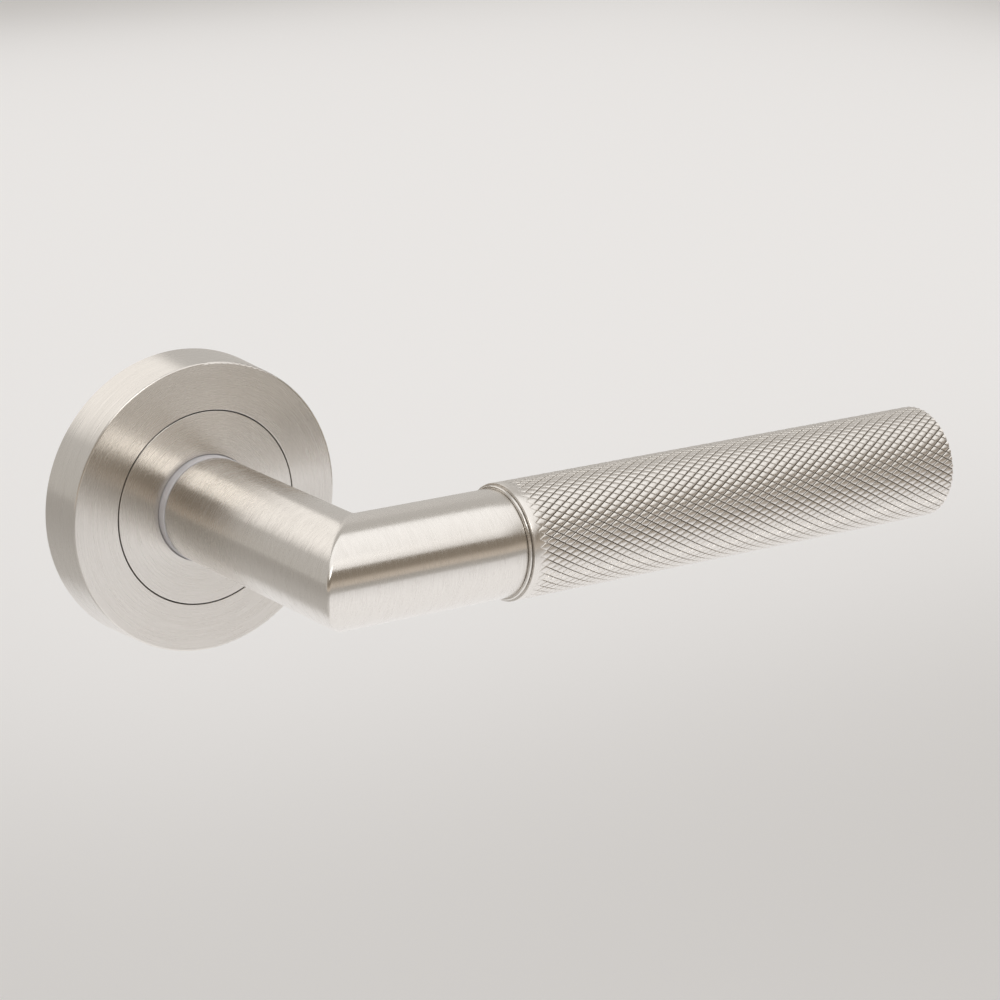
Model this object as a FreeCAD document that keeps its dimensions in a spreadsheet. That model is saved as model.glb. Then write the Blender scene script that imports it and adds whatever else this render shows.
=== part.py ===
"""Sprung door lever handle on a round rose, built as a parametric FreeCAD document.

Every piece is drawn as it lies on the bench, with the door side down: bench +X runs along the lever,
bench +Y points up the door and bench +Z comes out of the door.  Each piece then gets the placement
UPRIGHT, which stands it against the door: row +X along the lever, +Z up, and the handle on the -Y side.
The origin is where the spindle's axis meets the door's face.
"""
import FreeCAD
import Part
import math
import os
import Sketcher

SIZES = {
    # rose cover: drawn shell with a slight draft towards its front
    "cover_dia": 53.6,
    "cover_draft": 0.45,
    "cover_depth": 9.7,
    "cover_wall": 1.0,
    "cover_face": 1.3,
    "cover_edge_radius": 0.35,
    # lever: round tube mitred at the elbow
    "tube_dia": 19.0,
    "tube_wall": 1.5,
    "projection": 55.7,
    "arm_length": 30.4,
    "lever_length": 125.9,
    "edge_break": 0.2,
    # bush that carries the neck
    "bush_lip": 0.14,
    "bush_stand_out": 1.6,
    "bush_flange_width": 0.96,
    "bush_flange_thickness": 1.2,
    # return spring around the bush
    "spring_wire": 0.9,
    "spring_pitch": 0.97,
    "spring_whole_turns": 2,
    "spring_leg_reach": 2.9,
    "spring_space": 0.65,
    # hub: round cup that closes the spring chamber, with four screw bosses as stops
    "hub_face": 1.5,
    "hub_skirt": 1.15,
    "boss_dia": 3.8,
    "boss_space": 0.35,
    "boss_skirt_gap": 0.1,
    "hub_gap": 0.2,
    "bush_seat_gap": 0.1,
    # base plate
    "base_thickness": 2.4,
    "base_step": 1.3,
    "base_gap": 0.3,
    "clip_recess": 2.4,
    "clip_recess_width": 3.6,
    "snap_wire": 1.2,
    "snap_height": 1.2,
    "snap_split_angle": 10.0,
    "snap_groove_play": 0.1,
    # fixings
    "post_spacing": 38.0,
    "post_dia": 7.4,
    "post_length": 9.0,
    "post_spigot_dia": 5.0,
    "post_seat_depth": 1.2,
    "post_seat_gap": 0.2,
    "post_thread_dia": 3.3,
    "post_thread_depth": 8.0,
    "wood_hole_dia": 3.8,
    "wood_head_dia": 6.6,
    "wood_hub_gap": 0.15,
    "cup_screw_dia": 2.5,
    "cup_head_dia": 4.8,
    "cup_head_recess": 0.1,
    "cup_screw_reach": 6.6,
    "cup_socket": 1.5,
    "cup_socket_depth": 0.9,
    # driver that turns the spring, and its swing between the stops
    "driver_thickness": 1.2,
    "driver_hub_width": 2.42,
    "lug_past_pitch": 1.0,
    "driver_flats": 13.8,
    "lug_half_angle": 12.0,
    "tab_half_angle": 4.0,
    "tab_height": 1.5,
    "tab_width": 1.7,
    "lever_swing": 45.0,
    "stop_angle_gap": 0.4,
    # neck insert, its retaining parts and the spindle
    "tail_length": 0.8,
    "insert_top_gap": 2.0,
    "washer_thickness": 0.5,
    "washer_width": 2.6,
    "wave_sheet": 0.25,
    "wave_rise": 0.1,
    "wave_width": 1.9,
    "wave_count": 3,
    "clip_thickness": 1.0,
    "clip_depth": 0.4,
    "clip_width": 1.9,
    "clip_opening": 5.0,
    "spindle_side": 8.0,
    "spindle_rear": 32.0,
    "spindle_front": 28.0,
    "spindle_chamfer": 0.6,
    "spindle_bore_floor": 2.0,
    "grub_dia": 5.0,
    "grub_height": 20.0,
    "grub_recess": 0.5,
    "grub_socket": 2.5,
    "grub_socket_depth": 2.0,
    # grip: core, collar, knurled sleeve and end plug
    "core_start": 12.0,
    "core_grub_place": 22.0,
    "core_spot_depth": 1.0,
    "collar_proud": 0.45,
    "collar_width": 0.64,
    "collar_crown": 0.27,
    "collar_seam": 0.02,
    "sleeve_gap": 0.06,
    "sleeve_proud": 0.8,
    "sleeve_wall": 1.4,
    "sleeve_band": 1.08,
    "sleeve_lead_break": 0.18,
    "sleeve_band_drop": 0.25,
    "plug_length": 5.0,
    "plug_recess": 0.4,
    "core_plug_gap": 1.0,
    # clearances shared by many pieces
    "press_gap": 0.02,
    "running_gap": 0.07,
    "axial_gap": 0.1,
    "clip_play": 0.05,
}

UPRIGHT = FreeCAD.Placement(
    FreeCAD.Vector(0, 0, 0), FreeCAD.Rotation(FreeCAD.Vector(1, 0, 0), 90)
)

# Radii and heights that follow from the sizes, as expressions on the sheet.
TUBE_R = "(Sizes.tube_dia / 2)"
TUBE_BORE_R = f"({TUBE_R} - Sizes.tube_wall)"
INSERT_R = f"({TUBE_BORE_R} - Sizes.press_gap)"
BUSH_BORE_R = f"({INSERT_R} + Sizes.running_gap)"
BUSH_R = f"({TUBE_R} + Sizes.bush_lip)"
FLANGE_R = f"({BUSH_R} + Sizes.bush_flange_width)"
COIL_R = f"({FLANGE_R} + Sizes.spring_space + Sizes.spring_wire / 2)"
BOSS_PITCH_R = f"({COIL_R} + Sizes.spring_wire / 2 + Sizes.boss_space + Sizes.boss_dia / 2)"
SKIRT_BORE_R = f"({BOSS_PITCH_R} + Sizes.boss_dia / 2 + Sizes.boss_skirt_gap)"
HUB_R = f"({SKIRT_BORE_R} + Sizes.hub_skirt)"
COVER_HOLE_R = f"({HUB_R} + Sizes.hub_gap)"
COVER_BACK_R = "(Sizes.cover_dia / 2)"
COVER_FRONT_R = f"({COVER_BACK_R} - Sizes.cover_draft)"
COVER_BORE_R = f"({COVER_FRONT_R} - Sizes.cover_wall)"
BASE_R = f"({COVER_BORE_R} - Sizes.base_gap)"
SNAP_OUTER_R = f"({COVER_BORE_R} - Sizes.clip_play)"
SNAP_GROOVE_R = f"({SNAP_OUTER_R} - Sizes.snap_wire - Sizes.snap_groove_play / 2)"
WOOD_R = f"({HUB_R} + Sizes.wood_head_dia / 2 + Sizes.wood_hub_gap)"
CLIP_RECESS_R = f"({INSERT_R} + Sizes.clip_recess_width)"
DRIVER_HUB_R = f"({INSERT_R} + Sizes.driver_hub_width)"
LUG_TIP_R = f"({BOSS_PITCH_R} + Sizes.lug_past_pitch)"

BOSS_FACE = "(Sizes.base_thickness + Sizes.base_step)"
DRIVER_FOOT = f"({BOSS_FACE} + Sizes.axial_gap)"
DRIVER_TOP = f"({DRIVER_FOOT} + Sizes.driver_thickness)"
CHAMBER_TOP = "(Sizes.cover_depth - Sizes.hub_face)"
BUSH_FRONT = "(Sizes.cover_depth + Sizes.bush_stand_out)"
NECK_START = f"({BUSH_FRONT} + Sizes.axial_gap)"

ARM_START = "Sizes.arm_length"
COLLAR_START = "(Sizes.arm_length + Sizes.collar_seam)"
COLLAR_END = f"({COLLAR_START} + Sizes.collar_width)"
SLEEVE_START = f"({COLLAR_END} + Sizes.sleeve_gap)"
SLEEVE_R = f"({TUBE_R} + Sizes.sleeve_proud)"
SLEEVE_BORE_R = f"({SLEEVE_R} - Sizes.sleeve_wall)"
PLUG_END = "(Sizes.lever_length - Sizes.plug_recess)"
PLUG_START = f"({PLUG_END} - Sizes.plug_length)"
CORE_END = f"({PLUG_START} - Sizes.core_plug_gap)"

doc = FreeCAD.newDocument("LeverHandle")


def fill_sheet():
    """Puts every driving size in the sheet, one row each, with its name as the cell's alias."""
    sheet = doc.addObject("Spreadsheet::Sheet", "Sizes")
    for row, (name, value) in enumerate(SIZES.items(), start=1):
        sheet.set(f"A{row}", name)
        sheet.set(f"B{row}", str(value))
        sheet.setAlias(f"B{row}", name)
    doc.recompute()
    return sheet


sheet = fill_sheet()


def value(expression):
    """The number that an expression on the sheet stands for."""
    return float(sheet.evalExpression(expression.replace("Sizes.", "")))


def new_body(label):
    body = doc.addObject("PartDesign::Body", label)
    body.Placement = UPRIGHT
    return body


def new_sketch(body, name, plane="XZ_Plane", lift=None, across=None):
    """A sketch on an origin plane of its body.  lift moves it along the plane's normal, across along
    the sketch's own second axis."""
    sketch = body.newObject("Sketcher::SketchObject", name)
    origin_plane = [p for p in body.Origin.OriginFeatures if p.Role == plane][0]
    sketch.AttachmentSupport = [(origin_plane, "")]
    sketch.MapMode = "FlatFace"
    if lift:
        sketch.setExpression("AttachmentOffset.Base.z", lift)
    if across:
        sketch.setExpression("AttachmentOffset.Base.y", across)
    return sketch


def pin_point(sketch, geometry, which, x, y):
    """Holds one point of the sketch at two expressions; "0" puts it on an axis."""
    for kind, axis, expression in (("DistanceX", -2, x), ("DistanceY", -1, y)):
        if expression == "0":
            sketch.addConstraint(Sketcher.Constraint("PointOnObject", geometry, which, axis))
        else:
            number = value(expression)
            row = sketch.addConstraint(Sketcher.Constraint(kind, -1, 1, geometry, which, number))
            sketch.setExpression(f"Constraints[{row}]", expression)


def draw_outline(sketch, corners, closed=True):
    """A polygon, or an open path, through corners given as pairs of expressions."""
    points = [FreeCAD.Vector(value(x), value(y), 0) for x, y in corners]
    ends = points[1:] + points[:1] if closed else points[1:]
    lines = [sketch.addGeometry(Part.LineSegment(a, b)) for a, b in zip(points, ends)]
    joins = zip(lines, lines[1:] + lines[:1]) if closed else zip(lines, lines[1:])
    for first, second in joins:
        sketch.addConstraint(Sketcher.Constraint("Coincident", first, 2, second, 1))
    for line, (x, y) in zip(lines, corners):
        pin_point(sketch, line, 1, x, y)
    if not closed:
        pin_point(sketch, lines[-1], 2, *corners[-1])


def draw_circle(sketch, x, y, radius):
    centre = FreeCAD.Vector(value(x), value(y), 0)
    circle = sketch.addGeometry(Part.Circle(centre, FreeCAD.Vector(0, 0, 1), value(radius)))
    row = sketch.addConstraint(Sketcher.Constraint("Radius", circle, value(radius)))
    sketch.setExpression(f"Constraints[{row}]", radius)
    pin_point(sketch, circle, 3, x, y)


def turn(body, name, corners, across=None, groove=False):
    """A turned piece: its half outline (place along the axis second on the rose, first on the arm)."""
    sketch = new_sketch(body, name + "_outline", across=across)
    draw_outline(sketch, corners)
    kind = "PartDesign::Groove" if groove else "PartDesign::Revolution"
    feature = body.newObject(kind, name)
    feature.Profile = sketch
    feature.ReferenceAxis = (sketch, ["H_Axis" if across else "V_Axis"])
    feature.Angle = 360
    doc.recompute()
    return feature


def turn_on_arm(body, name, corners, groove=False):
    return turn(body, name, corners, across="Sizes.projection", groove=groove)


def pad(body, name, sketch, length):
    feature = body.newObject("PartDesign::Pad", name)
    feature.Profile = sketch
    feature.setExpression("Length", length)
    doc.recompute()
    return feature


def pocket(body, name, sketch, depth, reverse=False):
    """Cuts the sketch into the body and makes sure that material really went."""
    before = body.Shape.Volume
    feature = body.newObject("PartDesign::Pocket", name)
    feature.Profile = sketch
    feature.setExpression("Length", depth)
    feature.Reversed = reverse
    doc.recompute()
    if not body.Shape.Volume < before:
        raise ValueError(f"{body.Label}: pocket {name} cut nothing")
    return feature


def around(body, name, feature, count):
    """Repeats a feature evenly around bench Z."""
    pattern = body.newObject("PartDesign::PolarPattern", name)
    pattern.Originals = [feature]
    axis = [a for a in body.Origin.OriginFeatures if a.Role == "Z_Axis"][0]
    pattern.Axis = (axis, [""])
    pattern.Angle = 360
    pattern.Occurrences = count
    body.Tip = pattern
    doc.recompute()
    return pattern


def rounded(body, name, radius, wanted):
    """Fillets the circular edges whose (radius, bench height or place along the arm) are wanted."""
    last = body.Tip
    names = []
    for number, edge in enumerate(last.Shape.Edges, start=1):
        curve = edge.Curve
        if not isinstance(curve, Part.Circle) or abs(curve.Axis.y) > 0.5:
            continue
        place = curve.Center.z if abs(curve.Axis.z) > 0.5 else curve.Center.x
        if any(abs(curve.Radius - r) < 0.01 and abs(place - h) < 0.01 for r, h in wanted):
            names.append(f"Edge{number}")
    feature = body.newObject("PartDesign::Fillet", name)
    feature.Base = (last, names)
    feature.setExpression("Radius", radius)
    doc.recompute()
    return feature


def boss_angles():
    """Bench angles of the four screw bosses, which are also the driver's stops."""
    half = value("Sizes.lever_swing") / 2 + value("Sizes.lug_half_angle")
    half += math.degrees(math.asin(value(f"Sizes.boss_dia / 2 / {BOSS_PITCH_R}")))
    half += value("Sizes.stop_angle_gap")
    return [90 - half, 90 + half, 270 - half, 270 + half]


def at_angle(radius, angle):
    """Expressions for a point on a circle, at an angle that this script worked out."""
    x, y = math.cos(math.radians(angle)), math.sin(math.radians(angle))
    return f"{radius} * {x:.12f}", f"{radius} * {y:.12f}"


def make_rose_cover():
    """Round shell that hides the base plate; its flat face has the hub's hole."""
    body = new_body("rose_cover")
    inner_face = "(Sizes.cover_depth - Sizes.cover_face)"
    turn(body, "shell", [
        (COVER_BORE_R, "0"),
        (COVER_BACK_R, "0"),
        (COVER_FRONT_R, "Sizes.cover_depth"),
        (COVER_HOLE_R, "Sizes.cover_depth"),
        (COVER_HOLE_R, inner_face),
        (COVER_BORE_R, inner_face),
    ])
    front = value("Sizes.cover_depth")
    rounded(body, "rim", "Sizes.cover_edge_radius", [(value(COVER_FRONT_R), front)])
    rounded(body, "hole_edge", "Sizes.edge_break / 2", [(value(COVER_HOLE_R), front)])


def make_hub_cup():
    """Cup that shows as the rose's inner disc; its four bosses take the screws from behind and stop
    the driver's lugs."""
    body = new_body("hub_cup")
    hole_r = f"({BUSH_R} + Sizes.bush_seat_gap)"
    seat = "Sizes.base_thickness"
    turn(body, "cup", [
        (SKIRT_BORE_R, seat),
        (HUB_R, seat),
        (HUB_R, "Sizes.cover_depth"),
        (hole_r, "Sizes.cover_depth"),
        (hole_r, CHAMBER_TOP),
        (SKIRT_BORE_R, CHAMBER_TOP),
    ])
    bosses = new_sketch(body, "boss_plan", "XY_Plane", lift=CHAMBER_TOP)
    for angle in boss_angles():
        draw_circle(bosses, *at_angle(BOSS_PITCH_R, angle), "Sizes.boss_dia / 2")
    bosses_pad = pad(body, "bosses", bosses, f"{CHAMBER_TOP} - {BOSS_FACE}")
    bosses_pad.Reversed = True
    doc.recompute()
    threads = new_sketch(body, "thread_plan", "XY_Plane", lift=BOSS_FACE)
    for angle in boss_angles():
        draw_circle(threads, *at_angle(BOSS_PITCH_R, angle), "Sizes.cup_screw_dia / 2 + Sizes.press_gap")
    depth = f"Sizes.cup_screw_reach - {BOSS_FACE} + Sizes.axial_gap"
    pocket(body, "threads", threads, depth, reverse=True)
    front = value("Sizes.cover_depth")
    edges = [(value(HUB_R), front), (value(hole_r), front)]
    rounded(body, "face_edges", "Sizes.edge_break / 2", edges)


def make_base_plate():
    """Disc fixed to the door.  It centres the cup, holds the neck's washer in a recess at its back
    and has a groove in its edge for the snap ring."""
    body = new_body("base_plate")
    step_r = f"({SKIRT_BORE_R} - Sizes.clip_play)"
    bore_r = f"({INSERT_R} + Sizes.axial_gap)"
    low = "(Sizes.snap_height - Sizes.snap_wire / 2 - Sizes.snap_groove_play / 2)"
    high = "(Sizes.snap_height + Sizes.snap_wire / 2 + Sizes.snap_groove_play / 2)"
    turn(body, "plate", [
        (CLIP_RECESS_R, "0"),
        (BASE_R, "0"),
        (BASE_R, low),
        (SNAP_GROOVE_R, low),
        (SNAP_GROOVE_R, high),
        (BASE_R, high),
        (BASE_R, "Sizes.base_thickness"),
        (step_r, "Sizes.base_thickness"),
        (step_r, BOSS_FACE),
        (bore_r, BOSS_FACE),
        (bore_r, "Sizes.clip_recess"),
        (CLIP_RECESS_R, "Sizes.clip_recess"),
    ])
    seats = new_sketch(body, "post_seat_plan", "XY_Plane")
    spigots = new_sketch(body, "post_spigot_plan", "XY_Plane")
    for side in ("", "-"):
        place = ("0", f"{side}Sizes.post_spacing / 2")
        draw_circle(seats, *place, "Sizes.post_dia / 2 + Sizes.post_seat_gap")
        draw_circle(spigots, *place, "Sizes.post_spigot_dia / 2")
    pocket(body, "post_seats", seats, "Sizes.post_seat_depth", reverse=True)
    pocket(body, "post_spigot_holes", spigots, "Sizes.base_thickness", reverse=True)
    screws = new_sketch(body, "cup_screw_plan", "XY_Plane")
    heads = new_sketch(body, "cup_head_plan", "XY_Plane")
    for angle in boss_angles():
        place = at_angle(BOSS_PITCH_R, angle)
        draw_circle(screws, *place, "Sizes.cup_screw_dia / 2 + Sizes.clip_play")
        draw_circle(heads, *place, "Sizes.cup_head_dia / 2 + Sizes.clip_play")
    pocket(body, "cup_screw_holes", screws, BOSS_FACE, reverse=True)
    pocket(body, "cup_head_seats", heads, "Sizes.cup_head_recess + Sizes.cup_screw_dia / 2", reverse=True)
    hole_r, head_r = "Sizes.wood_hole_dia / 2", "Sizes.wood_head_dia / 2"
    sink = f"({head_r} - {hole_r})"
    wood = new_sketch(body, "wood_hole_outline", "XZ_Plane")
    draw_outline(wood, [
        (WOOD_R, "0"),
        (f"{WOOD_R} + {hole_r}", "0"),
        (f"{WOOD_R} + {hole_r}", f"Sizes.base_thickness - {sink}"),
        (f"{WOOD_R} + {head_r}", "Sizes.base_thickness"),
        (WOOD_R, "Sizes.base_thickness"),
    ])
    hole = body.newObject("PartDesign::Groove", "wood_hole")
    hole.Profile = wood
    hole.ReferenceAxis = (wood, ["Edge5"])
    hole.Angle = 360
    doc.recompute()
    around(body, "wood_holes", hole, 2)


def make_neck_bush():
    """Nylon bush: its lip shows around the neck and its flange sits behind the cup's face."""
    body = new_body("neck_bush")
    flange_foot = f"({CHAMBER_TOP} - Sizes.bush_flange_thickness)"
    turn(body, "bush", [
        (BUSH_BORE_R, flange_foot),
        (FLANGE_R, flange_foot),
        (FLANGE_R, CHAMBER_TOP),
        (BUSH_R, CHAMBER_TOP),
        (BUSH_R, BUSH_FRONT),
        (BUSH_BORE_R, BUSH_FRONT),
    ])
    rounded(body, "lip_edge", "Sizes.edge_break", [(value(BUSH_R), value(BUSH_FRONT))])


def make_snap_ring():
    """Split wire ring in the base plate's edge, which grips the cover's bore."""
    body = new_body("cover_snap_ring")
    section = new_sketch(body, "wire_section")
    wire_r = "Sizes.snap_wire / 2"
    draw_circle(section, f"{SNAP_OUTER_R} - {wire_r}", "Sizes.snap_height", wire_r)
    ring = body.newObject("PartDesign::Revolution", "ring")
    ring.Profile = section
    ring.ReferenceAxis = (section, ["V_Axis"])
    ring.setExpression("Angle", "360 - Sizes.snap_split_angle")
    doc.recompute()


def make_fixing_posts():
    """Two internally threaded posts for the through bolts, pressed into the base plate from behind."""
    posts = []
    for name, side in (("upper_post", 1), ("lower_post", -1)):
        radius = value("Sizes.post_dia / 2")
        spigot = value("Sizes.post_spigot_dia / 2 - Sizes.press_gap")
        seat = value("Sizes.post_seat_depth")
        tail = value("Sizes.post_length")
        body_part = Part.makeCylinder(radius, tail + seat, FreeCAD.Vector(0, 0, -tail))
        chamfered = body_part.makeChamfer(value("Sizes.edge_break"), [
            edge for edge in body_part.Edges if abs(edge.CenterOfMass.z + tail) < 0.001
        ])
        top = value("Sizes.base_thickness - Sizes.axial_gap") - seat
        neck = Part.makeCylinder(spigot, top, FreeCAD.Vector(0, 0, seat))
        thread = Part.makeCylinder(
            value("Sizes.post_thread_dia / 2"),
            value("Sizes.post_thread_depth"),
            FreeCAD.Vector(0, 0, -tail),
        )
        post = chamfered.fuse(neck).cut(thread).removeSplitter()
        post.translate(FreeCAD.Vector(0, side * value("Sizes.post_spacing / 2"), 0))
        posts.append(post)
    return add_shape("fixing_posts", Part.makeCompound(posts))


def add_shape(label, shape):
    """A piece drawn with Part's own functions, stood upright like the rest."""
    feature = doc.addObject("Part::Feature", label)
    feature.Shape = shape
    feature.Placement = UPRIGHT
    return feature


def make_cup_screws():
    """Four socket screws that hold the cup to the base plate from behind."""
    screws = []
    shank_r, head_r = value("Sizes.cup_screw_dia / 2"), value("Sizes.cup_head_dia / 2")
    foot, tip = value("Sizes.cup_head_recess"), value("Sizes.cup_screw_reach")
    for angle in boss_angles():
        head = Part.makeCylinder(head_r, shank_r, FreeCAD.Vector(0, 0, foot))
        shank = Part.makeCylinder(shank_r, tip - foot, FreeCAD.Vector(0, 0, foot))
        socket_r, deep = value("Sizes.cup_socket / sqrt(3)"), value("Sizes.cup_socket_depth")
        socket = hexagon_prism(socket_r, deep, FreeCAD.Vector(0, 0, foot))
        screw = head.fuse(shank).cut(socket).removeSplitter()
        radius = value(BOSS_PITCH_R)
        x, y = math.cos(math.radians(angle)), math.sin(math.radians(angle))
        screw.translate(FreeCAD.Vector(radius * x, radius * y, 0))
        screws.append(screw)
    return add_shape("cup_screws", Part.makeCompound(screws))


def hexagon_prism(radius, length, foot):
    """A hexagon socket's space, standing on a point."""
    corners = [
        FreeCAD.Vector(radius * math.cos(math.radians(a)), radius * math.sin(math.radians(a)), 0) + foot
        for a in range(0, 361, 60)
    ]
    return Part.Face(Part.makePolygon(corners)).extrude(FreeCAD.Vector(0, 0, length))


def make_return_spring():
    """Torsion spring around the bush: its lower leg pushes the driver's tab and its upper leg bears on
    a screw boss."""
    wire_r, radius = value("Sizes.spring_wire / 2"), value(COIL_R)
    rest = 90 + value("Sizes.lever_swing / 2")
    tab_foot = value(f"{LUG_TIP_R} - Sizes.tab_width")
    clear = wire_r + value("Sizes.clip_play")
    lower = rest - value("Sizes.tab_half_angle") - math.degrees(math.asin(clear / tab_foot))
    boss_clear = clear + value("Sizes.boss_dia / 2")
    upper = boss_angles()[0] + math.degrees(math.asin(boss_clear / value(BOSS_PITCH_R)))
    turns = value("Sizes.spring_whole_turns") + (lower - upper) / 360
    pitch = value("Sizes.spring_pitch")
    foot = value(f"{DRIVER_TOP} + Sizes.axial_gap") + wire_r
    helix = Part.makeHelix(pitch, turns * pitch, radius, 0, True)
    path = Part.Wire(helix.Edges)
    section = Part.makeCircle(wire_r, FreeCAD.Vector(radius, 0, 0), FreeCAD.Vector(0, 1, 0))
    coil = path.makePipeShell([Part.Wire(section)], True, True)
    coil.rotate(FreeCAD.Vector(0, 0, 0), FreeCAD.Vector(0, 0, 1), lower)
    coil.translate(FreeCAD.Vector(0, 0, foot))
    spring = coil
    for angle, height in ((lower, foot), (upper, foot + turns * pitch)):
        outward = FreeCAD.Vector(math.cos(math.radians(angle)), math.sin(math.radians(angle)), 0)
        start = outward * radius + FreeCAD.Vector(0, 0, height)
        leg = Part.makeCylinder(wire_r, value("Sizes.spring_leg_reach"), start, outward)
        spring = spring.fuse(leg).fuse(Part.makeSphere(wire_r, start))
    return add_shape("return_spring", spring)


def sector(sketch, middle, half_angle, inner, outer):
    """Four-cornered outline of a lug that sticks out between two radii."""
    draw_outline(sketch, [
        at_angle(inner, middle - half_angle),
        at_angle(outer, middle - half_angle),
        at_angle(outer, middle + half_angle),
        at_angle(inner, middle + half_angle),
    ])


def draw_double_d(sketch, radius, flat):
    """A round outline with two flats, at the given distance each side of the middle."""
    r, f = value(radius), value(flat)
    half = math.acos(f / r)
    circle = Part.Circle(FreeCAD.Vector(0, 0, 0), FreeCAD.Vector(0, 0, 1), r)
    right = sketch.addGeometry(Part.ArcOfCircle(circle, half - math.pi / 2, math.pi / 2 - half))
    left = sketch.addGeometry(Part.ArcOfCircle(circle, math.pi / 2 + half, 1.5 * math.pi - half))
    across = math.sqrt(r * r - f * f)
    corners = [FreeCAD.Vector(x, y, 0) for x, y in ((across, f), (-across, f), (-across, -f), (across, -f))]
    top = sketch.addGeometry(Part.LineSegment(corners[0], corners[1]))
    foot = sketch.addGeometry(Part.LineSegment(corners[2], corners[3]))
    for first, second in ((right, top), (top, left), (left, foot), (foot, right)):
        sketch.addConstraint(Sketcher.Constraint("Coincident", first, 2, second, 1))
    for arc in (right, left):
        sketch.addConstraint(Sketcher.Constraint("Coincident", arc, 3, -1, 1))
        row = sketch.addConstraint(Sketcher.Constraint("Radius", arc, r))
        sketch.setExpression(f"Constraints[{row}]", radius)
    for line, sign in ((top, ""), (foot, "-")):
        sketch.addConstraint(Sketcher.Constraint("Horizontal", line))
        number = f if sign == "" else -f
        row = sketch.addConstraint(Sketcher.Constraint("DistanceY", -1, 1, line, 1, number))
        sketch.setExpression(f"Constraints[{row}]", f"{sign}({flat})")


def make_spring_driver():
    """Pressed plate on the neck's two flats: its lugs swing between the bosses and one carries the tab
    that the spring pushes."""
    body = new_body("spring_driver")
    plan = new_sketch(body, "hub_plan", "XY_Plane", lift=DRIVER_FOOT)
    draw_circle(plan, "0", "0", DRIVER_HUB_R)
    pad(body, "hub", plan, "Sizes.driver_thickness")
    rest = 90 + value("Sizes.lever_swing / 2")
    root_r = f"({DRIVER_HUB_R} - Sizes.driver_thickness)"
    lugs = new_sketch(body, "lug_plan", "XY_Plane", lift=DRIVER_FOOT)
    for middle in (rest, rest + 180):
        sector(lugs, middle, value("Sizes.lug_half_angle"), root_r, LUG_TIP_R)
    pad(body, "lugs", lugs, "Sizes.driver_thickness")
    tab = new_sketch(body, "tab_plan", "XY_Plane", lift=DRIVER_TOP)
    half = value("Sizes.tab_half_angle")
    sector(tab, rest, half, f"({LUG_TIP_R} - Sizes.tab_width)", f"({LUG_TIP_R} - Sizes.axial_gap)")
    pad(body, "tab", tab, "Sizes.tab_height")
    hole = new_sketch(body, "hole_plan", "XY_Plane", lift=DRIVER_FOOT)
    draw_double_d(hole, f"{INSERT_R} + Sizes.press_gap", "Sizes.driver_flats / 2 + Sizes.press_gap")
    pocket(body, "hole", hole, "Sizes.driver_thickness", reverse=True)


def make_thrust_washer():
    body = new_body("thrust_washer")
    top = "(Sizes.clip_recess - Sizes.axial_gap)"
    foot = f"({top} - Sizes.washer_thickness)"
    bore_r, outer_r = f"({INSERT_R} + Sizes.press_gap)", f"({INSERT_R} + Sizes.washer_width)"
    turn(body, "washer", [(bore_r, foot), (outer_r, foot), (outer_r, top), (bore_r, top)])


CLIP_TOP = "(Sizes.clip_recess - Sizes.axial_gap - Sizes.washer_thickness - 2 * Sizes.wave_sheet)"
CLIP_FOOT = f"({CLIP_TOP} - Sizes.clip_thickness)"


def make_wave_washer():
    """Spring washer with three waves, which takes up the play between clip and thrust washer."""
    inner = value(f"{INSERT_R} + Sizes.running_gap")
    outer = inner + value("Sizes.wave_width")
    middle = value(f"{CLIP_TOP} + Sizes.wave_sheet / 2")
    waves = value("Sizes.wave_count")
    steps = int(12 * waves)
    edges = []
    for radius in (inner, outer):
        points = []
        for step in range(steps):
            angle = 2 * math.pi * step / steps
            rise = value("Sizes.wave_rise") * math.sin(waves * angle)
            points.append(FreeCAD.Vector(radius * math.cos(angle), radius * math.sin(angle), middle + rise))
        curve = Part.BSplineCurve()
        curve.interpolate(points, PeriodicFlag=True)
        edges.append(curve.toShape())
    sheet_face = Part.makeRuledSurface(edges[0], edges[1])
    return add_shape("wave_washer", sheet_face.extrude(FreeCAD.Vector(0, 0, value("Sizes.wave_sheet"))))


def make_circlip():
    """Open retaining ring in the neck's groove."""
    body = new_body("circlip")
    plan = new_sketch(body, "ring_plan", "XY_Plane", lift=CLIP_FOOT)
    inner_r = f"({INSERT_R} - Sizes.clip_depth + Sizes.press_gap)"
    draw_circle(plan, "0", "0", f"{inner_r} + Sizes.clip_width")
    draw_circle(plan, "0", "0", inner_r)
    pad(body, "ring", plan, "Sizes.clip_thickness")
    gap = new_sketch(body, "opening_plan", "XY_Plane", lift=CLIP_FOOT)
    side, far = "Sizes.clip_opening / 2", f"({INSERT_R} + Sizes.clip_width)"
    draw_outline(gap, [(side, "0"), (side, far), (f"-{side}", far), (f"-{side}", "0")])
    pocket(body, "opening", gap, "Sizes.clip_thickness", reverse=True)


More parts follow.
